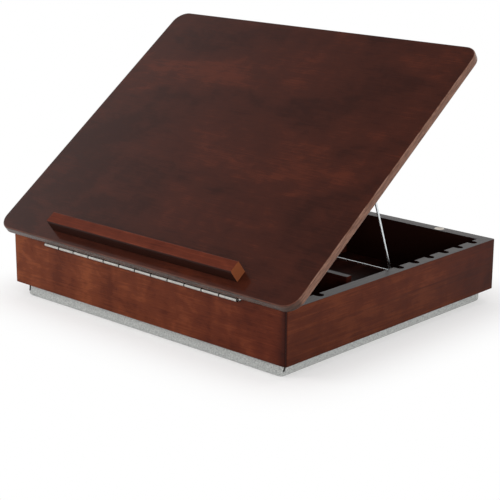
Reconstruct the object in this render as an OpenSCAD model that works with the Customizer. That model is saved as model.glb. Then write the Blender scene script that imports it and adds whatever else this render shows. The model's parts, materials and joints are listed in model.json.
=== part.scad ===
// Easel lap desk: a shallow wooden storage box on a soft pad. Its lid turns on a piano hinge along the
// front and is propped at an angle by a wire bail, whose lower bar stands in notches in the side walls.
// X runs to the right, Y to the back and Z up. The origin is the middle of the pad's underside.

/* [Box] */
// Outer width of the box
box_w = 430; // [390:1:480]
// Outer depth of the box
box_d = 371; // [365:1:420]
// Height of the box walls
box_h = 60.5; // [52:0.5:80]
// Thickness of the box walls
wall_t = 15; // [14:0.5:18]
// Radius of the upright outer corners
corner_r = 3; // [1.5:0.5:6]
// Thickness of the bottom panel
bottom_t = 6; // [4:0.5:9]
// Width of the rebate that holds the bottom panel
bottom_lap = 7; // [4:0.5:9]
// Radius of the eased outer arrises of the walls
arris_r = 0.8; // [0.4:0.1:1]

/* [Dividers] */
// Thickness of both dividers
divider_t = 8; // [6:0.5:12]
// Gap between the top of the full-height dividers and the top of the walls
divider_drop = 0.5; // [0.2:0.1:3]
// Distance from the front of the box to the cross divider
cross_y = 133; // [110:1:145]
// Gap between the cross divider's free end and the right wall
cross_gap = 16; // [11:1:30]
// Depth of the notches in the low part of the centre divider
tooth_depth = 9; // [5:0.5:12]
// Distance from the first notch to the front of the centre divider's low part
trough_front = 42; // [40:1:56]

/* [Lid] */
// Overhang of the lid at each side of the box
lid_side = 17; // [4:0.5:30]
// Overhang of the closed lid in front of the box
lid_front = 4; // [3:0.25:4]
// Overhang of the closed lid behind the box
lid_back = 6.5; // [0:0.5:20]
// Thickness of the lid
lid_t = 10; // [9:0.5:14]
// Radius of the lid's corners in plan
lid_corner_r = 18; // [8:1:30]
// Radius of the lid's eased edges
lid_edge_r = 2; // [1.75:0.25:3]
// Gap between the closed lid and the side walls
lid_gap = 0.4; // [0.3:0.05:1]
// Angle at which the prop holds the lid
lid_angle = 36.25; // [30:0.25:42]

/* [Ledge] */
// Length of the ledge that stops papers and books from sliding off
ledge_l = 290; // [200:1:340]
// How far the ledge lies to the right of the lid's middle
ledge_shift = 3; // [-20:0.5:20]
// Depth of the ledge from front to back
ledge_d = 14.5; // [10:0.5:18]
// Height of the ledge over the lid
ledge_h = 16.5; // [12:0.5:22]
// Distance from the lid's front edge to the ledge
ledge_in = 13.5; // [12:0.5:20]
// Radius of the ledge's front nosing
ledge_r = 2.25; // [1:0.25:5]
// Radius of the ledge's back arris
ledge_back_r = 1; // [0.5:0.25:3]
// Distance from the ledge's back face to its screws
ledge_screw_in = 5; // [4:0.5:6]
// Distance between the ledge's outer screws
ledge_screw_span = 220; // [120:1:260]

/* [Hinge] */
// Length of one hinge knuckle
knuckle_l = 25.4; // [20:0.1:30]
// Number of knuckles
knuckle_n = 12; // [8:2:12]
// Width of a hinge leaf, from the axis to its edge
leaf_w = 15; // [13.5:0.5:17]
// Thickness of the hinge leaves
leaf_t = 1; // [0.8:0.1:1.2]
// Diameter of the hinge pin
pin_d = 2; // [1.6:0.1:2.2]
// How far the pin's ends lie inside the outer knuckles
pin_recess = 1; // [0:0.1:4]
// Distance of the hinge axis in front of the box
hinge_out = 4; // [4:0.25:5]
// Gap between the hinge's ends and the ends of its rebate in the front wall
hinge_room = 1; // [0.5:0.25:3]
// Number of screws in each leaf
leaf_screw_n = 6; // [3:1:8]

/* [Prop] */
// Diameter of the prop's wire
rod_d = 2.8; // [2.5:0.1:4]
// Distance from the walls to the centre lines of the prop's legs
leg_gap = 8; // [5:0.5:10]
// Radius of the prop's upper bends, on the wire's centre line
bend_r = 7; // [5:0.5:12]
// Distance from the hinge axis to the prop's pivot along the lid
prop_pivot = 198; // [180:0.5:210]
// Distance from a leg of the prop to the middle of the clip beside it
clip_in = 27; // [24:0.5:60]
// Width of a prop clip
clip_w = 14; // [8:0.5:20]
// Thickness of a prop clip
clip_t = 1.2; // [0.8:0.1:2]
// Width of a clip's flange on each side of the wire
clip_flange = 8; // [7:0.5:12]

/* [Notches] */
// Width of a notch along the wall
notch_w = 9.5; // [7:0.5:14]
// Depth of a notch below the top of the wall
notch_depth = 9; // [7:0.5:14]
// How far a notch reaches into the wall, to the end of its round
notch_in = 9.5; // [7:0.5:11]
// Distance from the front of the box to the first notch of the row
notch_first = 200; // [190:1:215]
// Distance between notches
notch_pitch = 28; // [24:0.5:40]
// Least land between the last notch and the back wall
notch_land = 5; // [3:0.5:15]

/* [Catches] */
// Diameter of the catch magnets and of their strike discs
magnet_d = 12; // [8:0.5:12]
// Thickness of a catch magnet
magnet_t = 4; // [2:0.5:6]
// Distance of the catches from the middle of the box
magnet_x = 140; // [60:1:170]
// Thickness of a strike disc
strike_t = 1.5; // [1:0.25:3]

/* [Pad] */
// Thickness of the pad under the box
pad_t = 16; // [12:0.5:30]
// Distance of the pad's left and right sides from the sides of the box
pad_side = 11; // [4:0.5:25]
// Distance of the pad's front and back from the front and back of the box
pad_end = 6.5; // [4:0.5:25]
// Radius of the pad's corners in plan
pad_corner_r = 8; // [6:0.5:30]
// Radius of the pad's lower edge
pad_edge_r = 3.5; // [3:0.5:5]
// Thickness of the pad's fabric cover
cover_t = 1.2; // [0.8:0.1:2]

/* [Screws] */
// Diameter of a screw's shank
screw_d = 2.8; // [2.2:0.1:3.2]
// Diameter of a screw's head
screw_head_d = 5.4; // [4.5:0.1:6]
// Length of the screws in the front wall
wall_screw_l = 14; // [8:0.5:20]
// Length of the screws in the lid
lid_screw_l = 7; // [5:0.5:8]
// How far the ledge's screws reach into the ledge
ledge_screw_bite = 9; // [6:0.5:10]

/* [Clearances] */
// Gap between glued or seated faces
seat = 0.1; // [0.05:0.05:0.3]
// Radial gap round a turning pin or wire
turn_gap = 0.06; // [0.03:0.01:0.1]
// Gap between neighbouring knuckles, and between a knuckle and the other leaf
knuckle_gap = 0.5; // [0.2:0.05:0.8]
// Gap between the prop's wire and the lid
rod_gap = 0.4; // [0.3:0.05:1]
// Gap between the lower bar and the floor of its notch, and between the bar's ends and the walls
bar_gap = 0.6; // [0.3:0.05:1]
// Gap between the centre divider and the prop's lower bar as the prop folds down
fold_gap = 1; // [0.5:0.1:3]

/* [Hidden] */
$fn = 48;

// Overcut, so that cuts run clear of the faces that they open
cut = 1;

// Faces of the box
front_y = -box_d / 2;
back_y = box_d / 2;
base_z = pad_t;
floor_z = base_z + bottom_t + seat;
top_z = base_z + box_h;
inner_x = box_w / 2 - wall_t;
inner_front_y = front_y + wall_t;
inner_back_y = back_y - wall_t;

// The hinge: both leaves lie flat on each other when the lid is closed
knuckle_r = pin_d / 2 + leaf_t;
lid_z = top_z + lid_gap;
axis_y = front_y - hinge_out;
axis_z = lid_z - knuckle_r;
hinge_l = knuckle_l * knuckle_n;
leaf_start = knuckle_r + knuckle_gap;
leaf_screw_y = axis_y + leaf_w - screw_head_d;
hinge_seat_z = axis_z - knuckle_r;

// The closed lid
lid_y = front_y - lid_front;
lid_w = box_w + 2 * lid_side;
lid_d = lid_front + box_d + lid_back;
lid_top_z = lid_z + lid_t;

// The prop's pivot, closed and propped, and its lower bar in the first notch
rod_r = rod_d / 2;
pivot_rise = lid_z - rod_r - rod_gap - axis_z;
pivot_y = axis_y + prop_pivot * cos(lid_angle) - pivot_rise * sin(lid_angle);
pivot_z = axis_z + prop_pivot * sin(lid_angle) + pivot_rise * cos(lid_angle);
bar_y = front_y + notch_first;
bar_z = top_z - notch_depth + bar_gap + rod_r;
prop_l = norm([bar_y - pivot_y, bar_z - pivot_z]);
prop_lean = asin((bar_y - pivot_y) / prop_l);
prop_w = 2 * (inner_x - leg_gap);
bar_l = 2 * (inner_x - bar_gap);

// Height of the lower bar while the lid closes by a share of its angle and the prop folds back under it
function bar_height(share) =
    let (lid_turn = lid_angle * (1 - share), lean = prop_lean + (90 - prop_lean) * share)
    axis_z + prop_pivot * sin(lid_turn) + pivot_rise * cos(lid_turn) - prop_l * cos(lean);
fold_steps = 36;
fold_low_z = min([for (i = [0 : fold_steps]) bar_height(i / fold_steps)]);
trough_z = fold_low_z - rod_r - fold_gap;
trough_y0 = bar_y - trough_front;
trough_y1 = axis_y + prop_pivot + prop_l + rod_r + fold_gap;

// Notches: a row for the lower bar, and one at the front where the bar lies when it is put away
notch_n = 1 + floor((inner_back_y - notch_land - notch_w / 2 - bar_y) / notch_pitch);
notch_ys = [for (i = [0 : notch_n - 1]) bar_y + i * notch_pitch];
stow_y = axis_y + prop_pivot - prop_l;

// The clips hold the prop's upper bar against the lid
clip_x = prop_w / 2 - clip_in;
clip_bore_r = rod_r + turn_gap;
clip_reach = clip_bore_r + clip_t;
clip_screw_y = clip_reach + clip_flange / 2;

// Screws in loose holes
screw_r = screw_d / 2;
hole_r = screw_r + seat;
head_h = leaf_t;
pan_h = 1.6;

catch_y = back_y - wall_t / 2;
ledge_screw_y = lid_y + ledge_in + ledge_d - ledge_screw_in;

// Colours
espresso = [0.24, 0.13, 0.11];
walnut = [0.40, 0.21, 0.16];
dark_inside = [0.16, 0.08, 0.07];
nickel = [0.82, 0.81, 0.78];
steel = [0.72, 0.75, 0.77];
grey_felt = [0.70, 0.72, 0.70];
foam = [0.86, 0.84, 0.78];

// Places children that are drawn for the closed lid at the propped angle
module on_lid() {
    translate([0, axis_y, axis_z])
        rotate([lid_angle, 0, 0])
            translate([0, -axis_y, -axis_z])
                children();
}

// Cross-section from a slab's inside, at zero, out to its edge, with the lower and upper arrises rounded
module edge_profile(l, t, low_r, high_r) {
    r = max(low_r, high_r);
    square([l - r, t]);
    translate([0, low_r])
        square([l, t - low_r - high_r]);
    if (low_r > 0)
        translate([l - low_r, low_r])
            circle(low_r);
    if (high_r > 0)
        translate([l - high_r, t - high_r])
            circle(high_r);
}

// Slab that stands on the origin, with round corners in plan and rounded arrises
module slab(w, d, t, r, low_r, high_r) {
    rotate([90, 0, 90])
        linear_extrude(w - 2 * r, center = true)
            for (side = [0, 1])
                mirror([side, 0])
                    edge_profile(d / 2, t, low_r, high_r);
    for (side = [0, 1])
        mirror([side, 0, 0])
            translate([w / 2 - r, 0, 0])
                rotate([90, 0, 0])
                    linear_extrude(d - 2 * r, center = true)
                        edge_profile(r, t, low_r, high_r);
    for (x = [0, 1], y = [0, 1])
        mirror([x, 0, 0])
            mirror([0, y, 0])
                translate([w / 2 - r, d / 2 - r, 0])
                    rotate_extrude(angle = 90)
                        edge_profile(r, t, low_r, high_r);
}

// Mitred wall of the box: its plan is a trapezium of the given half length, cut from the round-cornered box
module mitred_wall(turn, half_l, half_across) {
    translate([0, 0, base_z])
        intersection() {
            slab(box_w, box_d, box_h, corner_r, arris_r, arris_r);
            rotate(turn)
                linear_extrude(box_h)
                    polygon([
                        [-half_l, -half_across],
                        [half_l, -half_across],
                        [half_l - wall_t, -half_across + wall_t],
                        [-half_l + wall_t, -half_across + wall_t]
                    ]);
        }
}

// Space that the bottom panel takes out of the walls
module bottom_rebate() {
    w = 2 * (inner_x + bottom_lap);
    d = 2 * (inner_back_y + bottom_lap);
    translate([-w / 2, -d / 2, base_z - cut])
        cube([w, d, bottom_t + seat + cut]);
}

// Front wall, with a rebate in its top edge for the hinge
module front_wall() {
    color(walnut)
        difference() {
            mitred_wall(0, box_w / 2, box_d / 2);
            bottom_rebate();
            translate([-hinge_l / 2 - hinge_room, front_y - cut, hinge_seat_z])
                cube([hinge_l + 2 * hinge_room, wall_t + 2 * cut, box_h]);
            leaf_screw_holes(hinge_seat_z - wall_screw_l - seat, hinge_seat_z + cut);
        }
}

module back_wall() {
    color(walnut)
        difference() {
            mitred_wall(180, box_w / 2, box_d / 2);
            bottom_rebate();
            for (side = [-1, 1])
                translate([side * magnet_x, catch_y, top_z - magnet_t - seat])
                    cylinder(h = magnet_t + cut, r = magnet_d / 2 + seat);
        }
}

// Notch in the right wall: a slot with a round end, open to the inside and at the top
module wall_notch(y) {
    round_x = inner_x + notch_in - notch_w / 2;
    translate([0, y, top_z - notch_depth])
        linear_extrude(notch_depth + cut) {
            translate([inner_x - cut, -notch_w / 2])
                square([round_x - inner_x + cut, notch_w]);
            translate([round_x, 0])
                circle(d = notch_w);
        }
}

// Right wall, with the notches for the prop's lower bar cut into its inner top edge
module side_wall() {
    difference() {
        mitred_wall(90, box_d / 2 - seat, box_w / 2);
        bottom_rebate();
        for (y = concat([stow_y], notch_ys))
            wall_notch(y);
    }
}

module right_wall() {
    color(walnut)
        side_wall();
}

module left_wall() {
    color(walnut)
        mirror([1, 0, 0])
            side_wall();
}

module bottom_panel() {
    w = 2 * (inner_x + bottom_lap - seat);
    d = 2 * (inner_back_y + bottom_lap - seat);
    color(dark_inside)
        translate([-w / 2, -d / 2, base_z])
            cube([w, d, bottom_t]);
}

// Divider from the front wall to the back wall. It dips in the middle, where the prop's bar passes over it
// as the prop folds, and has notches in line with those in the walls
module centre_divider() {
    color(dark_inside)
        rotate([90, 0, 90])
            linear_extrude(divider_t, center = true)
                difference() {
                    translate([inner_front_y + seat, floor_z])
                        square([2 * (inner_back_y - seat), top_z - divider_drop - floor_z]);
                    translate([trough_y0, trough_z])
                        square([trough_y1 - trough_y0, box_h]);
                    for (y = notch_ys)
                        translate([y - notch_w / 2, trough_z - tooth_depth])
                            square([notch_w, box_h]);
                    translate([stow_y - notch_w / 2, top_z - notch_depth])
                        square([notch_w, box_h]);
                }
}

// Divider across the right half, ending short of the wall so that the prop's leg passes
module cross_divider() {
    x0 = divider_t / 2 + seat;
    x1 = inner_x - cross_gap;
    color(walnut)
        translate([x0, front_y + cross_y, floor_z])
            cube([x1 - x0, divider_t, top_z - divider_drop - floor_z]);
}

module lid_board() {
    color(espresso)
        on_lid()
            difference() {
                translate([0, lid_y + lid_d / 2, lid_z])
                    slab(lid_w, lid_d, lid_t, lid_corner_r, lid_edge_r, lid_edge_r);
                leaf_screw_holes(lid_z - cut, lid_z + lid_screw_l + seat);
                at_clip_screws()
                    translate([0, 0, lid_z - cut])
                        cylinder(h = lid_screw_l + seat + cut, r = hole_r);
                at_ledge_screws() {
                    translate([0, 0, lid_z - cut])
                        cylinder(h = lid_t + 2 * cut, r = hole_r);
                    translate([0, 0, lid_z])
                        screw_head(seat);
                }
                for (side = [-1, 1])
                    translate([side * magnet_x, catch_y, lid_z - cut])
                        cylinder(h = strike_t + seat + cut, r = magnet_d / 2 + seat);
            }
}

// Cross-section of the ledge, with a round nosing at the front and an eased arris at the back
module ledge_profile() {
    square([ledge_d, ledge_h - ledge_r]);
    translate([ledge_r, 0])
        square([ledge_d - ledge_r, ledge_h - ledge_back_r]);
    translate([ledge_r, 0])
        square([ledge_d - ledge_r - ledge_back_r, ledge_h]);
    translate([ledge_r, ledge_h - ledge_r])
        circle(ledge_r);
    translate([ledge_d - ledge_back_r, ledge_h - ledge_back_r])
        circle(ledge_back_r);
}

// Strip of wood across the front of the lid, which keeps what lies on it from sliding off
module stop_ledge() {
    color(walnut)
        on_lid()
            difference() {
                translate([ledge_shift, lid_y + ledge_in, lid_top_z + seat])
                    rotate([90, 0, 90])
                        linear_extrude(ledge_l, center = true)
                            ledge_profile();
                at_ledge_screws()
                    translate([0, 0, lid_top_z])
                        cylinder(h = ledge_screw_bite + seat, r = hole_r);
            }
}

// Countersunk head, with its wide face at the origin and the shank going up
module screw_head(gap) {
    translate([0, 0, -gap])
        cylinder(h = head_h + gap, r1 = screw_head_d / 2 + gap, r2 = screw_r + gap);
}

module countersunk_screw(l) {
    screw_head(0);
    cylinder(h = l, r = screw_r);
}

module at_ledge_screws() {
    for (x = [-1, 0, 1])
        translate([ledge_shift + x * ledge_screw_span / 2, ledge_screw_y, 0])
            children();
}

module ledge_screws() {
    color(steel)
        on_lid()
            at_ledge_screws()
                translate([0, 0, lid_z])
                    countersunk_screw(lid_t + ledge_screw_bite);
}

// Places along a hinge leaf's row of screws
module at_leaf_screws() {
    step = hinge_l / leaf_screw_n;
    for (i = [0 : leaf_screw_n - 1])
        translate([(i + 0.5) * step - hinge_l / 2, leaf_screw_y, 0])
            children();
}

module leaf_screw_holes(z0, z1) {
    at_leaf_screws()
        translate([0, 0, z0])
            cylinder(h = z1 - z0, r = hole_r);
}

// Hinge leaf that lies on the front wall: the plate, and every second knuckle rolled from its edge.
// The other leaf is the same part turned over, so it takes the knuckles between.
module hinge_leaf(first) {
    difference() {
        union() {
            translate([-hinge_l / 2, axis_y + leaf_start, axis_z - knuckle_r])
                cube([hinge_l, leaf_w - leaf_start, leaf_t]);
            for (i = [first : 2 : knuckle_n - 1])
                translate([i * knuckle_l - hinge_l / 2 + knuckle_gap / 2, axis_y, axis_z]) {
                    translate([0, 0, -knuckle_r])
                        cube([knuckle_l - knuckle_gap, leaf_start, leaf_t]);
                    rotate([0, 90, 0])
                        cylinder(h = knuckle_l - knuckle_gap, r = knuckle_r);
                }
        }
        translate([-hinge_l / 2 - cut, axis_y, axis_z])
            rotate([0, 90, 0])
                cylinder(h = hinge_l + 2 * cut, r = pin_d / 2 + turn_gap);
        at_leaf_screws()
            translate([0, 0, axis_z - pin_d / 2])
                rotate([180, 0, 0])
                    screw_head(seat);
    }
}

module hinge_base_leaf() {
    color(nickel)
        hinge_leaf(0);
}

// Turns a leaf over about the hinge axis, on to the underside of the closed lid
module turned_over() {
    translate([0, 0, axis_z])
        mirror([0, 0, 1])
            translate([0, 0, -axis_z])
                children();
}

module hinge_lid_leaf() {
    color(nickel)
        on_lid()
            turned_over()
                hinge_leaf(1);
}

module hinge_pin() {
    color(steel)
        translate([-hinge_l / 2 + pin_recess, axis_y, axis_z])
            rotate([0, 90, 0])
                cylinder(h = hinge_l - 2 * pin_recess, d = pin_d);
}

module hinge_base_screws() {
    color(nickel)
        at_leaf_screws()
            translate([0, 0, axis_z - pin_d / 2])
                rotate([180, 0, 0])
                    countersunk_screw(wall_screw_l);
}

module hinge_lid_screws() {
    color(nickel)
        on_lid()
            at_leaf_screws()
                translate([0, 0, axis_z + pin_d / 2])
                    countersunk_screw(lid_screw_l);
}

// Wire frame that hangs from its upper bar: two legs, bent over at the top, and a lower bar across them
// that runs past the legs to the notches
module prop_bail() {
    half_w = prop_w / 2;
    color(steel)
        translate([0, pivot_y, pivot_z])
            rotate([prop_lean, 0, 0]) {
                translate([-half_w + bend_r, 0, 0])
                    rotate([0, 90, 0])
                        cylinder(h = prop_w - 2 * bend_r, r = rod_r);
                translate([-bar_l / 2, 0, -prop_l])
                    rotate([0, 90, 0])
                        cylinder(h = bar_l, r = rod_r);
                for (side = [0, 1])
                    mirror([side, 0, 0]) {
                        translate([half_w, 0, -prop_l])
                            cylinder(h = prop_l - bend_r, r = rod_r);
                        translate([half_w - bend_r, 0, -bend_r])
                            rotate([90, 0, 0])
                                rotate_extrude(angle = 90)
                                    translate([bend_r, 0])
                                        circle(rod_r);
                    }
            }
}

// Saddle that holds the prop's upper bar to the lid: a strap bent round the wire, with a flange each side
module prop_clip(x) {
    rise = rod_r + rod_gap;
    on_lid()
        translate([x, axis_y + prop_pivot, lid_z - rise])
            rotate([90, 0, 90])
                difference() {
                    linear_extrude(clip_w, center = true)
                        difference() {
                            union() {
                                circle(clip_reach);
                                translate([-clip_reach, 0])
                                    square([2 * clip_reach, rise]);
                                translate([-clip_reach - clip_flange, rise - clip_t])
                                    square([2 * (clip_reach + clip_flange), clip_t]);
                            }
                            circle(clip_bore_r);
                            translate([-clip_bore_r, 0])
                                square([2 * clip_bore_r, rise + cut]);
                            translate([-clip_reach, rise])
                                square([2 * clip_reach, clip_reach]);
                        }
                    for (y = [-1, 1])
                        translate([y * clip_screw_y, 0, 0])
                            rotate([-90, 0, 0])
                                cylinder(h = rise + cut, r = hole_r);
                }
}

module right_prop_clip() {
    color(nickel)
        prop_clip(clip_x);
}

module left_prop_clip() {
    color(nickel)
        prop_clip(-clip_x);
}

module at_clip_screws() {
    for (x = [-1, 1], y = [-1, 1])
        translate([x * clip_x, axis_y + prop_pivot + y * clip_screw_y, 0])
            children();
}

module clip_screws() {
    color(steel)
        on_lid()
            at_clip_screws()
                translate([0, 0, lid_z - clip_t]) {
                    translate([0, 0, -pan_h])
                        cylinder(h = pan_h, d = screw_head_d);
                    cylinder(h = clip_t + lid_screw_l, r = screw_r);
                }
}

module magnet(side) {
    color(nickel)
        translate([side * magnet_x, catch_y, top_z - magnet_t])
            cylinder(h = magnet_t, d = magnet_d);
}

module left_magnet() {
    magnet(-1);
}

module right_magnet() {
    magnet(1);
}

module strike(side) {
    color(steel)
        on_lid()
            translate([side * magnet_x, catch_y, lid_z])
                cylinder(h = strike_t, d = magnet_d);
}

module left_strike() {
    strike(-1);
}

module right_strike() {
    strike(1);
}

// Block of the pad's outline, taken in by a given amount on every side but the top, and risen there
module pad_block(inset, rise) {
    w = box_w - 2 * (pad_side + inset);
    d = box_d - 2 * (pad_end + inset);
    translate([0, 0, inset])
        slab(w, d, pad_t - inset + rise, pad_corner_r - inset, pad_edge_r - inset, 0);
}

module pad_foam() {
    color(foam)
        pad_block(cover_t + seat, 0);
}

// Fabric sewn round the foam and fixed to the underside of the box
module pad_cover() {
    color(grey_felt)
        difference() {
            pad_block(0, 0);
            pad_block(cover_t, cut);
        }
}

front_wall();
back_wall();
left_wall();
right_wall();
bottom_panel();
centre_divider();
cross_divider();
lid_board();
stop_ledge();
ledge_screws();
hinge_base_leaf();
hinge_lid_leaf();
hinge_pin();
hinge_base_screws();
hinge_lid_screws();
prop_bail();
left_prop_clip();
right_prop_clip();
clip_screws();
left_magnet();
right_magnet();
left_strike();
right_strike();
pad_foam();
pad_cover();
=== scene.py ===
import json
import math
from types import SimpleNamespace

import bmesh
import bpy
import numpy as np
from mathutils import Matrix, Vector, noise


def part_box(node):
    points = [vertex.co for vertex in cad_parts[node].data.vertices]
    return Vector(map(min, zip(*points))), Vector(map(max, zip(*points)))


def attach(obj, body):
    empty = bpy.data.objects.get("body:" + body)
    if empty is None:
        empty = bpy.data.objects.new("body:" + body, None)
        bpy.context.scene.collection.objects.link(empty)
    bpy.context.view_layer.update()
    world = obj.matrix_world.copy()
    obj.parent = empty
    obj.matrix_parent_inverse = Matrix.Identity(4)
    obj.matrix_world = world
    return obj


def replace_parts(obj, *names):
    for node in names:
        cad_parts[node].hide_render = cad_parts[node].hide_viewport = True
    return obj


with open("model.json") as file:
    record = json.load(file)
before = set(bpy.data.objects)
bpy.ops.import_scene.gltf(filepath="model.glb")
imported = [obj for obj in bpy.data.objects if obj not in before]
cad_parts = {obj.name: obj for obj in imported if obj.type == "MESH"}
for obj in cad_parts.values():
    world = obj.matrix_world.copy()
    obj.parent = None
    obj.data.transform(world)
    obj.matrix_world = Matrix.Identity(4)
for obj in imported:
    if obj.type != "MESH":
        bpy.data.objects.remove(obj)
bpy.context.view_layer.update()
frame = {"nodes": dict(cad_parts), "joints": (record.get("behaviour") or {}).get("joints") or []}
nodes = frame["nodes"]
scene = bpy.context.scene

# Places of the hinge and of the pad, in metres, in the frame of the CAD model
hinge_joint = next(joint for joint in frame["joints"] if joint["name"] == "lid_hinge")
HINGE = Vector(hinge_joint["pos_m"])
LID_ANGLE = -math.radians(hinge_joint["range_deg"][0])
HINGE_ENDS = [corner.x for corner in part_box("hinge_base_leaf")]
KNUCKLES = 12
PAD_LOW, PAD_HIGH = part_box("pad_cover")

# The lid, turned back about the hinge to where it lies when it is closed
TO_CLOSED = (Matrix.Translation(HINGE) @ Matrix.Rotation(-LID_ANGLE, 4, "X")
             @ Matrix.Translation(-HINGE))
TO_PROPPED = TO_CLOSED.inverted()


# Camera, at the photograph's viewing angle

CAMERA_EYE = Vector((1.130778, -1.234074, 0.539284))
CAMERA_BACK = Vector((0.651027, -0.707115, 0.275958))
CAMERA_ROLL = math.radians(0.294)
CAMERA_LENS = 106.006
CAMERA_SENSOR = 36.0
CAMERA_REACH = 50.0


def make_camera():
    data = bpy.data.cameras.new("camera")
    data.sensor_width = CAMERA_SENSOR
    data.lens = CAMERA_LENS
    data.clip_end = CAMERA_REACH
    camera = bpy.data.objects.new("camera", data)
    scene.collection.objects.link(camera)
    aim = (-CAMERA_BACK).to_track_quat("-Z", "Y").to_matrix()
    turn = aim @ Matrix.Rotation(CAMERA_ROLL, 3, "Z")
    camera.matrix_world = Matrix.Translation(CAMERA_EYE) @ turn.to_4x4()
    scene.camera = camera


make_camera()


# Small helpers for node trees

def srgb(r, g, b):
    """Linear colour of an 8-bit sRGB one."""
    def one(c):
        c /= 255.0
        return c / 12.92 if c <= 0.04045 else ((c + 0.055) / 1.055) ** 2.4
    return (one(r), one(g), one(b), 1.0)


def shade(colour, amount):
    """A colour made darker or lighter."""
    return tuple(c * amount for c in colour[:3]) + (1.0,)


class Look:
    """A material, and short calls that add nodes to it."""

    def __init__(self, name):
        self.material = bpy.data.materials.new(name)
        self.material.use_nodes = True
        self.tree = self.material.node_tree
        self.tree.nodes.clear()
        self.out = self.tree.nodes.new("ShaderNodeOutputMaterial")
        self.shader = self.tree.nodes.new("ShaderNodeBsdfPrincipled")
        self.tree.links.new(self.shader.outputs[0], self.out.inputs[0])
        coordinates = self.tree.nodes.new("ShaderNodeTexCoord")
        self.place = coordinates.outputs["Object"]
        self.normal = coordinates.outputs["Normal"]

    def put(self, socket, value):
        if isinstance(value, bpy.types.NodeSocket):
            self.tree.links.new(value, socket)
        else:
            socket.default_value = value

    def set(self, **values):
        for name, value in values.items():
            self.put(self.shader.inputs[name.replace("_", " ")], value)

    def mapped(self, vector, scale=(1, 1, 1), turn=(0, 0, 0), move=(0, 0, 0)):
        n = self.tree.nodes.new("ShaderNodeMapping")
        self.put(n.inputs["Vector"], vector)
        n.inputs["Location"].default_value = move
        n.inputs["Rotation"].default_value = turn
        n.inputs["Scale"].default_value = scale
        return n.outputs[0]

    def noise(self, vector, scale=1.0, detail=2.0, roughness=0.5, distortion=0.0):
        n = self.tree.nodes.new("ShaderNodeTexNoise")
        self.put(n.inputs["Vector"], vector)
        n.inputs["Scale"].default_value = scale
        n.inputs["Detail"].default_value = detail
        n.inputs["Roughness"].default_value = roughness
        n.inputs["Distortion"].default_value = distortion
        return n.outputs["Fac"]

    def math(self, kind, a, b=0.0, c=0.0, clamp=False):
        n = self.tree.nodes.new("ShaderNodeMath")
        n.operation = kind
        n.use_clamp = clamp
        for socket, value in zip(n.inputs, (a, b, c)):
            self.put(socket, value)
        return n.outputs[0]

    def ramp(self, value, low, high, out_low=0.0, out_high=1.0):
        """Value carried from one range to another, with soft ends."""
        n = self.tree.nodes.new("ShaderNodeMapRange")
        n.interpolation_type = "SMOOTHSTEP"
        for socket, v in zip(n.inputs, (value, low, high, out_low, out_high)):
            self.put(socket, v)
        return n.outputs[0]

    def mix(self, amount, a, b, kind="MIX"):
        n = self.tree.nodes.new("ShaderNodeMix")
        n.data_type = "RGBA"
        n.blend_type = kind
        self.put(n.inputs["Factor"], amount)
        self.put(n.inputs[6], a)
        self.put(n.inputs[7], b)
        return n.outputs[2]

    def dot(self, vector, axis):
        n = self.tree.nodes.new("ShaderNodeVectorMath")
        n.operation = "DOT_PRODUCT"
        self.put(n.inputs[0], vector)
        n.inputs[1].default_value = axis
        return n.outputs["Value"]

    def split(self, vector):
        n = self.tree.nodes.new("ShaderNodeSeparateXYZ")
        self.put(n.inputs[0], vector)
        return n.outputs

    def bump(self, height, depth, strength=1.0):
        n = self.tree.nodes.new("ShaderNodeBump")
        n.inputs["Strength"].default_value = strength
        n.inputs["Distance"].default_value = depth
        self.put(n.inputs["Height"], height)
        return n.outputs[0]


# Wood

RIGHT, BACK, UP = (1, 0, 0), (0, 1, 0), (0, 0, 1)
LEFT, FRONT = (-1, 0, 0), (0, -1, 0)
WALL_TONES = srgb(74, 30, 13), srgb(91, 41, 20), srgb(110, 55, 29)
LID_TONES = srgb(46, 19, 12), srgb(58, 25, 16), srgb(76, 33, 20)
LEDGE_TONES = srgb(68, 26, 15), srgb(85, 36, 22), srgb(100, 45, 28)
# Inside the box: a darker stain, made darker still as painted shade of the closed-in interior
INSIDE_STAIN_AND_SHADE_TONES = srgb(25, 11, 8), srgb(37, 17, 12), srgb(52, 24, 17)
DIVIDER_TONES = srgb(42, 16, 10), srgb(60, 25, 15), srgb(80, 35, 21)
INSIDE_STAIN_AND_SHADE = INSIDE_STAIN_AND_SHADE_TONES[1]
TOP_REFLECTION_GREY = srgb(82, 78, 77)
# Lid edges: the worn tone is a painted highlight along the arrises, partly wear; the front tones are
# painted shade and highlight of the front edge
EDGE_DARK, EDGE_LIGHT, ARRIS_HIGHLIGHT_AND_WEAR = srgb(82, 53, 41), srgb(116, 82, 65), srgb(140, 108, 94)
FRONT_EDGE_SHADE, FRONT_ARRIS_HIGHLIGHT = srgb(40, 28, 21), srgb(88, 44, 30)

# Share of each layer in a piece's figure: clouds, mottling, bands across the grain, streaks along it
WALL_FIGURE = dict(cloud=0.25, mottle=0.45, band=0.65, streak=0.22)
SIDE_FIGURE = dict(cloud=0.40, mottle=0.30, band=0.20, streak=0.36)
LID_FIGURE = dict(cloud=0.65, mottle=0.25, band=0.15, streak=0.16)
TONE_REACH = 0.13
FINE_SHARE = 0.25

# Frequencies along and across the grain, per metre, then detail and distortion of each layer
LAYERS = dict(cloud=(5.0, 11.0, 3.0, 0.5), mottle=(38.0, 62.0, 4.0, 0.6),
              band=(24.0, 3.0, 2.0, 0.4), streak=(7.0, 460.0, 4.0, 0.1),
              fine=(45.0, 1200.0, 3.0, 0.0), pores=(95.0, 1700.0, 2.0, 0.0))
LAYER_ROUGHNESS = 0.6
SEED_STEP = Vector((1.37, 2.11, 0.73))
PORE_RANGE = 0.60, 0.72
PORE_STRENGTH, PORE_SHADE = 0.35, 0.4
WOOD_ROUGHNESS = 0.38, 0.54
ROUGHNESS_RANGE = 0.7, 1.3
GRAIN_DEPTH = 0.00006

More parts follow.
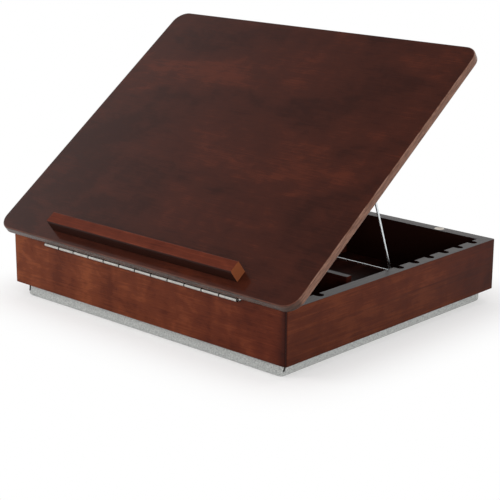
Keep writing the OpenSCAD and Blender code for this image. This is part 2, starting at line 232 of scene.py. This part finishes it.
WALL_COAT = dict(Coat_Weight=0.28, Coat_IOR=1.30, Coat_Roughness=0.20, Specular_IOR_Level=0.03)
LID_COAT = dict(Coat_Weight=1.0, Coat_IOR=1.30, Coat_Roughness=0.11, Specular_IOR_Level=0.02)
INSIDE_COAT = dict(Coat_Weight=0.15, Coat_IOR=1.30, Coat_Roughness=0.30, Specular_IOR_Level=0.03)


def grain_scales(along, along_scale, across_scale):
    """Frequencies along each axis for a figure that runs along one of them."""
    return tuple(along_scale if axis else across_scale for axis in along)


def wood(name, tones, along, seed, figure, coat, tints_and_painted_light=(), on_lid=False):
    """Stained wood with open grain. Each call passed in changes the colour where it applies: some are real
    tints, others painted shade, highlights or reflections.
    """
    k = Look(name)
    place, normal = k.place, k.normal
    if on_lid:
        turn = (-LID_ANGLE, 0, 0)
        place = k.mapped(place, turn=turn, move=TO_CLOSED.to_translation())
        normal = k.mapped(normal, turn=turn)
    at = SimpleNamespace(place=place, normal=normal)
    at.figure = k.mapped(place, move=SEED_STEP * seed)

    def layer(along_scale, across_scale, detail, distortion):
        vector = k.mapped(at.figure, grain_scales(along, along_scale, across_scale))
        return k.noise(vector, 1.0, detail, LAYER_ROUGHNESS, distortion)

    layers = {part: layer(*numbers) for part, numbers in LAYERS.items()}
    fine = layers["fine"]
    pores = k.ramp(layers["pores"], *PORE_RANGE)
    tone = k.math("MULTIPLY", k.math("SUBTRACT", fine, 0.5), FINE_SHARE)
    for part, share in figure.items():
        tone = k.math("MULTIPLY_ADD", k.math("SUBTRACT", layers[part], 0.5), share, tone)
    dark, middle, light = tones
    colour = k.mix(k.ramp(tone, -TONE_REACH, 0.0), dark, middle)
    colour = k.mix(k.ramp(tone, 0.0, TONE_REACH), colour, light)
    colour = k.mix(k.math("MULTIPLY", pores, PORE_STRENGTH), colour, shade(dark, PORE_SHADE))
    for finish in tints_and_painted_light:
        colour = finish(k, at, colour)
    rough = k.ramp(k.math("ADD", layers["streak"], fine), *ROUGHNESS_RANGE, *WOOD_ROUGHNESS)
    height = k.math("MULTIPLY_ADD", pores, -0.8, k.math("MULTIPLY", fine, 0.5))
    k.set(Base_Color=colour, Roughness=rough, Normal=k.bump(height, GRAIN_DEPTH, 0.5), **coat)
    return k.material


def facing(axis, colour, low=0.4, high=0.7):
    """Colour of the faces that look along an axis, used for stains as well as for painted shade and
    reflection.
    """
    def put(k, at, under):
        return k.mix(k.ramp(k.dot(at.normal, axis), low, high), under, colour)
    return put


def drift(axis, start, end, tint):
    """Slow change of colour from one place to another."""
    def put(k, at, under):
        return k.mix(k.ramp(k.dot(at.place, axis), start, end), under, tint, "MULTIPLY")
    return put


# Range of the normal's upright share in which a face counts as an edge, and as an arris that gets a painted
# highlight
EDGE_LEVEL = 0.95, 0.60
ARRIS_LOW, ARRIS_HIGH = (0.35, 0.65), (0.97, 0.85)
EDGE_LINES = 60.0, 60.0, 520.0
SIDE_LINE_RANGE, FRONT_LINE_RANGE = (0.35, 0.68), (0.35, 0.75)
FRONT_FACING = 0.05, 0.35
RUB_SCALE = 55.0
RUB_RANGE = 0.38, 0.62, 0.15, 0.7


def edge_grain(k, at, under):
    """Edges of the lid: lines of the glued layers, painted shade on the downward-facing front edge, and a
    painted highlight along the rounded arrises, broken up like wear.
    """
    level = k.math("ABSOLUTE", k.split(at.normal)[2])
    edge = k.ramp(level, *EDGE_LEVEL)
    lines = k.noise(k.mapped(at.figure, EDGE_LINES), 1.0, 5.0, 0.7)
    front = k.ramp(k.dot(at.normal, FRONT), *FRONT_FACING)
    side_tone = k.mix(k.ramp(lines, *SIDE_LINE_RANGE), EDGE_DARK, EDGE_LIGHT)
    front_edge_shade_tone = k.mix(k.ramp(lines, *FRONT_LINE_RANGE), FRONT_EDGE_SHADE, EDGE_DARK)
    colour = k.mix(edge, under, side_tone)
    colour = k.mix(k.math("MULTIPLY", front, edge), colour, front_edge_shade_tone)
    rubbed = k.ramp(k.noise(at.figure, RUB_SCALE, 4.0, 0.6), *RUB_RANGE)
    highlit_arris = k.math("MULTIPLY", k.ramp(level, *ARRIS_LOW), k.ramp(level, *ARRIS_HIGH))
    arris_highlight_tone = k.mix(front, ARRIS_HIGHLIGHT_AND_WEAR, FRONT_ARRIS_HIGHLIGHT)
    return k.mix(k.math("MULTIPLY", highlit_arris, rubbed), colour, arris_highlight_tone)


# The right wall is glued up from two boards; the line between them shows towards the back
BOARD_LINE_Z = 0.0485
BOARD_LINE_HALF = 0.0006
BOARD_LINE_STRENGTH, BOARD_LINE_SHADE = 0.55, 0.45
BOARD_LINE_FROM, BOARD_LINE_FULL = -0.02, 0.06
BOARD_WAVE = 0.004
UPPER_TINT = 1.16, 1.10, 1.02, 1.0
UPPER_EDGE = -0.001, 0.003
UPPER_GAIN = -0.16, 0.05, 0.35, 0.9


def glued_boards(k, at, under):
    """Lighter upper board, and a dark line where it meets the lower one."""
    _, y, z = k.split(at.place)
    wavy = k.noise(k.mapped(at.place, (1.0, 9.0, 1.0)), 1.0, 2.0)
    level = k.math("MULTIPLY_ADD", wavy, BOARD_WAVE, z)
    height = k.math("SUBTRACT", level, BOARD_LINE_Z + BOARD_WAVE / 2)
    upper = k.math("MULTIPLY", k.ramp(height, *UPPER_EDGE), k.ramp(y, *UPPER_GAIN))
    colour = k.mix(upper, under, UPPER_TINT, "MULTIPLY")
    line = k.ramp(k.math("ABSOLUTE", height), BOARD_LINE_HALF * 2, BOARD_LINE_HALF * 0.5)
    back = k.math("MULTIPLY", k.ramp(y, BOARD_LINE_FROM, BOARD_LINE_FULL), BOARD_LINE_STRENGTH)
    return k.mix(k.math("MULTIPLY", line, back), colour, shade(WALL_TONES[0], BOARD_LINE_SHADE))


# Painted reflection: upward faces take a grey that stands for the bright surroundings mirrored in their
# polish
TOP_REFLECTION = facing(UP, TOP_REFLECTION_GREY, 0.75, 0.95)


def wall_wood(name, along, seed, figure, inward, *tints_and_painted_light):
    """Wood of one of the box's walls: a darker stain with painted shade on its inner face, and grey on its
    top as a painted reflection of the bright surroundings in its polish.
    """
    tints_and_painted_light = (*tints_and_painted_light, facing(inward, INSIDE_STAIN_AND_SHADE), TOP_REFLECTION)
    return wood(name, WALL_TONES, along, seed, figure, WALL_COAT, tints_and_painted_light)


def ends(*axes):
    """Painted shade on the rounded corners and on the notches' sides."""
    return [facing(axis, CORNER_SHADE, 0.2, 0.6) for axis in axes]


# Painted shade: near black for rounded corners turning away from the light and for the insides of the
# notches
CORNER_SHADE = srgb(34, 12, 8)
LEDGE_FRONT_SHADE, LEDGE_END = srgb(34, 12, 6), srgb(112, 62, 38)
CROSS_END = srgb(60, 24, 16)

# Tints that darken a wall from one place to another along it. On the front wall the second is painted shade
# beside the rounded right corner. On the right wall the first darkens the whole wall as painted shade of
# that side, and the second darkens it towards the back.
FRONT_DRIFT_AND_CORNER_SHADE = (drift(RIGHT, -0.10, 0.22, (0.66, 0.53, 0.56, 1.0)),
               drift(RIGHT, 0.203, 0.2135, (0.34, 0.28, 0.30, 1.0)))
SIDE_SHADE_AND_DRIFT = (drift(RIGHT, 0.0, 0.1, (0.50, 0.45, 0.44, 1.0)),
              drift(BACK, 0.04, 0.18, (0.80, 0.72, 0.68, 1.0)))
# Painted shade on the ledge's downward-facing front face; its right end face is given a lighter colour
LEDGE_SHADE_AND_END = facing(FRONT, LEDGE_FRONT_SHADE, 0.5, 0.95), facing(RIGHT, LEDGE_END, 0.6, 0.9)
# The cross divider: painted grey reflection on its top, and a flat colour on its right end face
CROSS_TOP_REFLECTION_AND_END = TOP_REFLECTION, facing(RIGHT, CROSS_END, 0.5, 0.8)

wood_of = {
    "front_wall": wall_wood("front_wall_wood", RIGHT, 1.0, WALL_FIGURE, BACK,
                            *FRONT_DRIFT_AND_CORNER_SHADE, *ends(RIGHT, LEFT)),
    "back_wall": wall_wood("back_wall_wood", RIGHT, 2.0, WALL_FIGURE, FRONT, *ends(RIGHT, LEFT)),
    "right_wall": wall_wood("right_wall_wood", BACK, 3.0, SIDE_FIGURE, LEFT,
                            *SIDE_SHADE_AND_DRIFT, glued_boards, *ends(BACK, FRONT)),
    "left_wall": wall_wood("left_wall_wood", BACK, 4.0, SIDE_FIGURE, RIGHT, *ends(BACK, FRONT)),
    "lid_board": wood("lid_board_wood", LID_TONES, RIGHT, 5.0, LID_FIGURE, LID_COAT, [edge_grain], True),
    "stop_ledge": wood("ledge_wood", LEDGE_TONES, RIGHT, 6.0, SIDE_FIGURE, WALL_COAT, LEDGE_SHADE_AND_END, True),
    "centre_divider": wood("centre_divider_wood", DIVIDER_TONES, BACK, 7.0, SIDE_FIGURE, INSIDE_COAT,
                           [TOP_REFLECTION]),
    "cross_divider": wood("cross_divider_wood", DIVIDER_TONES, RIGHT, 8.0, SIDE_FIGURE, INSIDE_COAT,
                          CROSS_TOP_REFLECTION_AND_END),
    "bottom_panel": wood("bottom_panel_wood", INSIDE_STAIN_AND_SHADE_TONES, RIGHT, 9.0, WALL_FIGURE, INSIDE_COAT),
}


# Metal

DRAWN_LINES = 20.0, 2600.0
PLAIN_LINES = 900.0, 900.0, 900.0
TARNISH_SCALE = 120.0
METAL_DEPTH = 0.00003
METAL_SPREAD = -0.05, 0.09
JOINT_OFF = 0.045, 0.022
KNUCKLE_GAP_SHADE = 0.03, 0.03, 0.03, 1.0


def metal(name, colour, rough, along=None, tarnish=0.2, relief=0.35, joints=None):
    """Plated or drawn metal, with faint clouding, fine lines along one axis, and painted shade in given
    joints.
    """
    k = Look(name)
    cloud = k.noise(k.place, TARNISH_SCALE, 3.0, 0.6)
    scales = grain_scales(along, *DRAWN_LINES) if along else PLAIN_LINES
    lines = k.noise(k.mapped(k.place, scales), 1.0, 3.0, 0.6)
    finish = k.mix(k.ramp(cloud, 0.35, 0.75), colour, shade(colour, 1.0 - tarnish))
    if joints is not None:
        finish = joints(k, finish)
    k.set(Base_Color=finish, Metallic=1.0, Normal=k.bump(lines, METAL_DEPTH, relief))
    low, high = rough + METAL_SPREAD[0], rough + METAL_SPREAD[1]
    k.set(Roughness=k.ramp(k.math("ADD", cloud, lines), *ROUGHNESS_RANGE, low, high))
    return k.material


def knuckle_joints(k, under):
    """Dark lines of painted shade in the gaps where one knuckle of the hinge ends and the next begins, and
    on the knuckles' end faces.
    """
    pitch = (HINGE_ENDS[1] - HINGE_ENDS[0]) / KNUCKLES
    x = k.split(k.place)[0]
    count = k.math("DIVIDE", k.math("SUBTRACT", x, HINGE_ENDS[0]), pitch)
    off = k.math("ABSOLUTE", k.math("SUBTRACT", count, k.math("ROUND", count)))
    end = k.ramp(k.math("ABSOLUTE", k.split(k.normal)[0]), 0.5, 0.8)
    return k.mix(k.math("MAXIMUM", k.ramp(off, *JOINT_OFF), end), under, KNUCKLE_GAP_SHADE)


NICKEL = (0.52, 0.51, 0.48, 1.0)
STEEL = (0.80, 0.86, 0.88, 1.0)
ZINC = (0.60, 0.60, 0.58, 1.0)
CATCH = (0.72, 0.66, 0.58, 1.0)

hinge_metal = metal("hinge_nickel", NICKEL, 0.30, RIGHT, joints=knuckle_joints)
nickel = metal("nickel_plate", NICKEL, 0.28, RIGHT)
wire = metal("steel_wire", STEEL, 0.24, tarnish=0.08, relief=0.04)
zinc = metal("zinc_plate", ZINC, 0.36)
catch = metal("catch_plate", CATCH, 0.42)

metal_of = {
    "hinge_base_leaf": hinge_metal, "hinge_lid_leaf": hinge_metal, "hinge_pin": wire,
    "prop_bail": wire, "left_prop_clip": nickel, "right_prop_clip": nickel,
    "left_magnet": catch, "right_magnet": catch, "left_strike": zinc, "right_strike": zinc,
}

for name, material in {**wood_of, **metal_of}.items():
    nodes[name].data.materials.clear()
    nodes[name].data.materials.append(material)


def add_piece(name, mesh, material, body):
    """A new smooth-shaded object from a bmesh, that rides on a body."""
    bmesh.ops.recalc_face_normals(mesh, faces=mesh.faces)
    data = bpy.data.meshes.new(name)
    mesh.to_mesh(data)
    mesh.free()
    data.polygons.foreach_set("use_smooth", [True] * len(data.polygons))
    data.materials.append(material)
    piece = bpy.data.objects.new(name, data)
    scene.collection.objects.link(piece)
    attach(piece, body)
    return piece


# Screws with cross recesses, in place of the plain ones

SCREW_REACH = 0.008
HEAD_R = 0.0027
SHANK_R = 0.0014
COUNTERSINK = 0.001
PAN_H = 0.0016
RECESS_L, RECESS_W, RECESS_DEPTH = 0.0031, 0.0008, 0.0009
RECESS_SIDE_SLOPE, RECESS_END_SLOPE = 0.0003, 0.0004
CROWN_SHARE = 0.45
TIP_SHARE = 0.2
SPIN_PER_M = 700.0
SCREW_SIDES = 48
HEAD_RINGS = 14


def screw_places(node, on_lid):
    """Lowest and highest point of each screw of a node, with the lid turned back to closed."""
    groups = []
    for vertex in nodes[node].data.vertices:
        point = TO_CLOSED @ vertex.co if on_lid else vertex.co.copy()
        near = next((g for g in groups if (g[0].xy - point.xy).length < SCREW_REACH), None)
        if near is None:
            groups.append([point])
        else:
            near.append(point)
    places = []
    for group in groups:
        low, high = np.min(group, axis=0), np.max(group, axis=0)
        middle = (low + high) / 2
        places.append((Vector((*middle[:2], low[2])), Vector((*middle[:2], high[2]))))
    return places


def soft_step(value, edge, width):
    """1 below an edge and 0 above it, with a slope of the given width between."""
    t = min(max((edge + width / 2 - value) / width, 0.0), 1.0)
    return t * t * (3 - 2 * t)


def recess_depth(x, y):
    """Depth of the cross recess at a point of a screw's head."""
    def arm(u, v):
        return (soft_step(abs(v), RECESS_W / 2, RECESS_SIDE_SLOPE)
                * soft_step(abs(u), RECESS_L / 2, RECESS_END_SLOPE))
    return RECESS_DEPTH * max(arm(x, y), arm(y, x))


def screw_rings(length, pan):
    """Rings of a screw from its head's middle to its tip: radius, and depth below the head's top."""
    rings = []
    for i in range(1, HEAD_RINGS + 1):
        r = HEAD_R * i / HEAD_RINGS
        crown = PAN_H * CROWN_SHARE * (r / HEAD_R) ** 3 if pan else 0.0
        rings.append((r, crown))
    seat = PAN_H if pan else COUNTERSINK
    if pan:
        rings.append((HEAD_R, seat))
    return rings + [(SHANK_R, seat), (SHANK_R, length - 2 * SHANK_R), (SHANK_R * TIP_SHARE, length)]


def add_screw(mesh, head, tip, place, pan):
    """A screw whose head is at one point and whose tip is at another, in a mesh that holds several."""
    inward = (tip - head).normalized()
    spin = head.x * SPIN_PER_M
    turn = inward.to_track_quat("Z", "Y").to_matrix() @ Matrix.Rotation(spin, 3, "Z")

    def vertex(x, y, z):
        return mesh.verts.new(place @ (head + turn @ Vector((x, y, z))))

    rings = []
    for r, depth in screw_rings((tip - head).length, pan):
        ring = []
        for i in range(SCREW_SIDES):
            a = 2 * math.pi * i / SCREW_SIDES
            x, y = r * math.cos(a), r * math.sin(a)
            ring.append(vertex(x, y, depth + (recess_depth(x, y) if depth < COUNTERSINK else 0.0)))
        rings.append(ring)
    ends = (vertex(0, 0, RECESS_DEPTH), rings[0]), (vertex(0, 0, (tip - head).length), rings[-1])
    for middle, ring in ends:
        for a, b in zip(ring, ring[1:] + ring[:1]):
            mesh.faces.new((middle, a, b))
    for outer, inner in zip(rings, rings[1:]):
        for i in range(SCREW_SIDES):
            j = (i + 1) % SCREW_SIDES
            mesh.faces.new((outer[i], inner[i], inner[j], outer[j]))


def make_screws(node, body, material, pan=False):
    """Screws that stand for a node: those in the lid have their heads below, the others above."""
    on_lid = body == "lid"
    mesh = bmesh.new()
    for low, high in screw_places(node, on_lid):
        head, tip = (low, high) if on_lid else (high, low)
        add_screw(mesh, head, tip, TO_PROPPED if on_lid else Matrix.Identity(4), pan)
    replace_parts(add_piece(node + "_crossed", mesh, material, body), node)


make_screws("hinge_base_screws", "base", nickel)
make_screws("hinge_lid_screws", "lid", nickel)
make_screws("ledge_screws", "lid", zinc)
make_screws("clip_screws", "lid", zinc, pan=True)


# Pad: a fabric cover drawn round foam, pleated at its corners

PAD_HALF = Vector((PAD_HIGH.x, PAD_HIGH.y))
PAD_T = PAD_HIGH.z
PAD_CORNER = 0.008
PAD_EDGE = 0.0035
PAD_STEP = 0.004
PAD_ROWS = 11
PAD_SWELL = 0.0006
PAD_GAP = 0.0002
CORNER_POINTS = 29
PLEAT_DEPTH = 0.0018
PLEAT_HALF = 0.0012
PLEAT_FOOT = 0.006
PLEAT_HOOK = 0.0013
PLEAT_BACK = 0.5
PLEAT_ASIDE = 0.0030
PLEAT_FADE = 0.002
LEAST_CORNER = 0.0015
TOP_INSETS = 0.060, 0.020, 0.006, 0.002
UNDER_INSETS = 0.009, 0.020, 0.060
LIP_IN, LIP_DOWN = 0.0005, 0.0003
SIDE_TOP = 0.0015
EDGE_ANGLES = 22, 45, 68, 90
QUARTERS = (1, -1), (1, 1), (-1, 1), (-1, -1)
SWELL_FRAMES = 20
RIPPLE, RIPPLE_SCALE = 0.00035, 45.0
STITCH_R = 0.0009
STITCH_STEPS, STITCH_SIDES = 14, 10


def felt():
    """Heathered grey weave."""
    k = Look("grey_felt")
    warp = k.noise(k.mapped(k.place, (420.0, 420.0, 1600.0)), 1.0, 3.0, 0.7)
    weft = k.noise(k.mapped(k.place, (1500.0, 1500.0, 420.0), move=(3.1, 0.7, 1.9)), 1.0, 3.0, 0.7)
    heather = k.noise(k.place, 620.0, 4.0, 0.75)
    patch = k.noise(k.place, 26.0, 3.0, 0.5)
    threads = k.math("MULTIPLY_ADD", warp, 0.4, k.math("MULTIPLY", weft, 0.4))
    tone = k.math("MULTIPLY_ADD", heather, 0.5, threads)
    colour = k.mix(k.ramp(tone, 0.46, 0.84), srgb(112, 115, 114), srgb(192, 194, 191))
    colour = k.mix(k.math("MULTIPLY", k.ramp(patch, 0.35, 0.7), 0.14), colour, srgb(150, 152, 151))
    k.set(Base_Color=colour, Roughness=0.92, Specular_IOR_Level=0.15)
    k.set(Sheen_Weight=0.25, Sheen_Roughness=0.5, Normal=k.bump(tone, 0.0004, 0.6))
    return k.material


def pad_outline(inset):
    """Points round the pad's plan, taken in by an inset, counter-clockwise from the front right corner."""
    corner = max(PAD_CORNER - inset, LEAST_CORNER)
    reach = PAD_HALF - Vector((inset + corner, inset + corner))
    centres = [Vector((sx * reach.x, sy * reach.y)) for sx, sy in QUARTERS]
    arcs = []
    for i, centre in enumerate(centres):
        angles = np.radians(np.linspace(90 * i - 90, 90 * i, CORNER_POINTS))
        arcs.append([centre + corner * Vector((math.cos(a), math.sin(a))) for a in angles])
    counts = [round(2 * PAD_HALF[1 - i % 2] / PAD_STEP) for i in range(4)]
    points = []
    for arc, after, count in zip(arcs, arcs[1:] + arcs[:1], counts):
        points += arc
        points += [arc[-1].lerp(after[0], t) for t in np.linspace(0, 1, count + 1)[1:-1]]
    return points


def pad_profile():
    """Inset and height of each ring of the pad, from its top round the side to its underside."""
    top = PAD_T - PAD_GAP
    rings = [(inset, top) for inset in TOP_INSETS]
    rings += [(PAD_SWELL + LIP_IN, top - LIP_DOWN)]
    rings += [(PAD_SWELL, z) for z in np.linspace(top - SIDE_TOP, PAD_EDGE, PAD_ROWS)]
    for a in np.radians(EDGE_ANGLES):
        rings.append((PAD_SWELL + PAD_EDGE * (1 - math.cos(a)), PAD_EDGE * (1 - math.sin(a))))
    return rings + [(inset, 0.0) for inset in UNDER_INSETS]


def pad_mesh():
    mesh = bmesh.new()
    rings = [[mesh.verts.new((*point, z)) for point in pad_outline(inset)] for inset, z in pad_profile()]
    count = len(rings[0])
    for a, b in zip(rings, rings[1:]):
        for i in range(count):
            j = (i + 1) % count
            mesh.faces.new((a[i], b[i], b[j], a[j]))
    return mesh


def points_of(mesh):
    flat = np.zeros(len(mesh.vertices) * 3)
    mesh.vertices.foreach_get("co", flat)
    return flat.reshape(-1, 3)


def swell(pad):
    """Cloth simulation: the cover is held where it is glued and where it lies, and pressure fills it."""
    before = points_of(pad.data)
    held = pad.vertex_groups.new(name="held")
    fixed = (before[:, 2] < 1e-5) | (before[:, 2] > PAD_T - 2 * PAD_GAP)
    held.add([int(i) for i in np.flatnonzero(fixed)], 1.0, "REPLACE")
    cloth = pad.modifiers.new("swell", "CLOTH")
    cloth.settings.quality = 4
    cloth.settings.vertex_group_mass = held.name
    cloth.settings.tension_stiffness = 15.0
    cloth.settings.compression_stiffness = 15.0
    cloth.settings.bending_stiffness = 0.5
    cloth.settings.use_pressure = True
    cloth.settings.uniform_pressure_force = 4.0
    cloth.settings.effector_weights.gravity = 0.0
    cloth.point_cache.frame_start = 1
    cloth.point_cache.frame_end = SWELL_FRAMES
    for step in range(1, SWELL_FRAMES + 1):
        scene.frame_set(step)
    after = points_of(pad.evaluated_get(bpy.context.evaluated_depsgraph_get()).data)
    pad.modifiers.remove(cloth)
    pad.vertex_groups.remove(held)
    scene.frame_set(1)
    moved = after - before
    length = np.linalg.norm(moved, axis=1, keepdims=True)
    moved *= np.minimum(1.0, PAD_SWELL / np.maximum(length, 1e-9))
    pad.data.vertices.foreach_set("co", (before + moved).ravel())


def pleat_middle(z):
    """Distance of a pleat from its corner's middle, at a height: it bows to one side and hooks back."""
    share = 1 - min(max((z - PLEAT_FOOT) / (PAD_T - PLEAT_FOOT), 0.0), 1.0)
    return PLEAT_ASIDE + PLEAT_HOOK * (4 * share * (1 - share) - PLEAT_BACK * share)


def pleat_corners(pad):
    """Draws the cover in along a short line at each corner, where its cloth is folded under."""
    for vertex in pad.data.vertices:
        p = vertex.co
        sides = Vector((math.copysign(1, p.x), math.copysign(1, p.y)))
        centre = Vector((sides.x * (PAD_HALF.x - PAD_CORNER), sides.y * (PAD_HALF.y - PAD_CORNER)))
        out = p.xy - centre
        if out.dot(sides) < PAD_CORNER * 0.5 or p.z < PLEAT_FOOT - PLEAT_HALF:
            continue
        across = sides.normalized().cross(out)
        beside = soft_step(abs(across - pleat_middle(p.z)), PLEAT_HALF * 0.75, PLEAT_HALF)
        depth = PLEAT_DEPTH * beside * (1 - soft_step(p.z, PLEAT_FOOT, PLEAT_FADE))
        p.xy -= out.normalized() * depth


def thread():
    """Dark twisted thread, near black as painted shade of the pleat it lies in."""
    k = Look("dark_thread_pleat_shade")
    twist = k.noise(k.mapped(k.place, (900.0, 900.0, 2600.0)), 1.0, 3.0, 0.6)
    k.set(Base_Color=k.mix(twist, srgb(14, 13, 12), srgb(44, 42, 40)), Roughness=0.85)
    k.set(Normal=k.bump(twist, 0.0002, 0.5))
    return k.material


def stitch_ring(mesh, quarter, z):
    """Ring of a thread round its middle, at a height."""
    sx, sy = QUARTERS[quarter]
    angle = math.radians(90 * quarter - 45) + math.asin(pleat_middle(z) / PAD_CORNER)
    out = Vector((math.cos(angle), math.sin(angle), 0))
    aside = Vector((-out.y, out.x, 0))
    middle = Vector((sx * (PAD_HALF.x - PAD_CORNER), sy * (PAD_HALF.y - PAD_CORNER), z))
    middle += out * (PAD_CORNER - STITCH_R)
    turns = [2 * math.pi * i / STITCH_SIDES for i in range(STITCH_SIDES)]
    offsets = [out * math.cos(t) + aside * math.sin(t) for t in turns]
    return [mesh.verts.new(middle + STITCH_R * offset) for offset in offsets]


def make_stitches():
    """A dark hooked thread in the pleat of each corner, standing for the shade in the fold."""
    mesh = bmesh.new()
    heights = np.linspace(PAD_T - PLEAT_HALF, PLEAT_FOOT, STITCH_STEPS)
    for quarter in range(len(QUARTERS)):
        rings = [stitch_ring(mesh, quarter, z) for z in heights]
        for a, b in zip(rings, rings[1:]):
            for i in range(STITCH_SIDES):
                j = (i + 1) % STITCH_SIDES
                mesh.faces.new((a[i], b[i], b[j], a[j]))
        mesh.faces.new(rings[0])
        mesh.faces.new(list(reversed(rings[-1])))
    add_piece("pad_stitches_pleat_shade", mesh, thread(), "base")


def ripple(pad):
    """Small unevenness of the cloth, on the sides only."""
    for vertex in pad.data.vertices:
        p = vertex.co
        height = min(max(p.z / PAD_T, 0.0), 1.0)
        amount = RIPPLE * 4 * height * (1 - height)
        p.xy += p.xy.normalized() * amount * noise.noise(p * RIPPLE_SCALE)


def close_pad(pad):
    """Fills the open middle of the pad's top and of its underside."""
    mesh = bmesh.new()
    mesh.from_mesh(pad.data)
    bmesh.ops.holes_fill(mesh, edges=[edge for edge in mesh.edges if edge.is_boundary])
    bmesh.ops.recalc_face_normals(mesh, faces=mesh.faces)
    mesh.to_mesh(pad.data)
    mesh.free()


def make_pad():
    cloth = felt()
    pad = add_piece("pad", pad_mesh(), cloth, "base")
    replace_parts(pad, "pad_cover", "pad_foam")
    swell(pad)
    ripple(pad)
    pleat_corners(pad)
    close_pad(pad)


make_pad()
make_stitches()


# Stage and light

FLOOR_HALF = 20.0
FLOOR_TONE = 0.97, 0.955, 0.95, 1.0
FLOOR_GLOW_NEAR = 0.38
FLOOR_WHITE_FROM, FLOOR_WHITE_TO = 0.0, 0.11
SKY_BRIGHT_Z, SKY_DARK_Z = 0.52, 0.82
SKY_DARK = 0.16
DOME = 0.80


def make_floor():
    """White floor. To the camera it fades into pure white beyond the object, and keeps a shadow near it,
    lightened there by a share of white glow painted over it.
    """
    mesh = bmesh.new()
    bmesh.ops.create_grid(mesh, x_segments=1, y_segments=1, size=FLOOR_HALF)
    data = bpy.data.meshes.new("floor")
    mesh.to_mesh(data)
    mesh.free()
    floor = bpy.data.objects.new("floor", data)
    scene.collection.objects.link(floor)
    k = Look("floor")
    k.set(Base_Color=FLOOR_TONE, Roughness=0.9, Specular_IOR_Level=0.0)
    beyond = [k.math("MAXIMUM", k.math("SUBTRACT", k.math("ABSOLUTE", side), half), 0.0)
              for side, half in zip(k.split(k.place), PAD_HALF)]
    squared = k.math("MULTIPLY_ADD", beyond[0], beyond[0], k.math("MULTIPLY", beyond[1], beyond[1]))
    distance = k.math("SQRT", squared)
    clear = k.ramp(distance, FLOOR_WHITE_FROM, FLOOR_WHITE_TO, FLOOR_GLOW_NEAR, 1.0)
    path = k.tree.nodes.new("ShaderNodeLightPath")
    glow = k.tree.nodes.new("ShaderNodeEmission")
    glow.inputs["Color"].default_value = (1, 1, 1, 1)
    blend = k.tree.nodes.new("ShaderNodeMixShader")
    k.put(blend.inputs[0], k.math("MULTIPLY", clear, path.outputs["Is Camera Ray"]))
    k.put(blend.inputs[1], k.shader.outputs[0])
    k.put(blend.inputs[2], glow.outputs[0])
    k.put(k.out.inputs[0], blend.outputs[0])
    data.materials.append(k.material)


def make_world():
    """Even soft light. Polished faces see a bright horizon and a dim ceiling, and the camera sees white."""
    world = bpy.data.worlds.new("studio")
    world.use_nodes = True
    scene.world = world
    tree = world.node_tree
    tree.nodes.clear()
    out = tree.nodes.new("ShaderNodeOutputWorld")
    place = tree.nodes.new("ShaderNodeTexCoord")
    height = tree.nodes.new("ShaderNodeSeparateXYZ")
    tree.links.new(place.outputs["Generated"], height.inputs[0])
    sky = tree.nodes.new("ShaderNodeMapRange")
    sky.interpolation_type = "SMOOTHSTEP"
    for socket, value in zip(list(sky.inputs)[1:5], (SKY_BRIGHT_Z, SKY_DARK_Z, 1.0, SKY_DARK)):
        socket.default_value = value
    tree.links.new(height.outputs["Z"], sky.inputs[0])
    path = tree.nodes.new("ShaderNodeLightPath")

    def light(strength):
        n = tree.nodes.new("ShaderNodeBackground")
        n.inputs["Color"].default_value = (1, 1, 1, 1)
        n.inputs["Strength"].default_value = strength
        return n

    def choose(amount, below, above):
        n = tree.nodes.new("ShaderNodeMixShader")
        tree.links.new(amount, n.inputs[0])
        tree.links.new(below.outputs[0], n.inputs[1])
        tree.links.new(above.outputs[0], n.inputs[2])
        return n

    mirrored = light(1.0)
    tree.links.new(sky.outputs[0], mirrored.inputs["Color"])
    lit = choose(path.outputs["Is Glossy Ray"], light(DOME), mirrored)
    seen = choose(path.outputs["Is Camera Ray"], lit, light(1.0))
    tree.links.new(seen.outputs[0], out.inputs[0])


def make_lamp(name, place, aim, size, watts):
    data = bpy.data.lights.new(name, "AREA")
    data.shape = "RECTANGLE"
    data.size, data.size_y = size
    data.energy = watts
    lamp = bpy.data.objects.new(name, data)
    scene.collection.objects.link(lamp)
    lamp.visible_glossy = False
    lamp.location = place
    lamp.rotation_euler = (Vector(aim) - Vector(place)).to_track_quat("-Z", "Y").to_euler()


make_floor()
make_world()
make_lamp("key", place=(-1.5, -1.8, 0.75), aim=(-0.05, -0.1, 0.06), size=(1.0, 0.8), watts=25)
make_lamp("fill", place=(1.8, -0.5, 0.45), aim=(0.1, 0.0, 0.05), size=(1.0, 0.6), watts=14)

scene.view_settings.view_transform = "Standard"
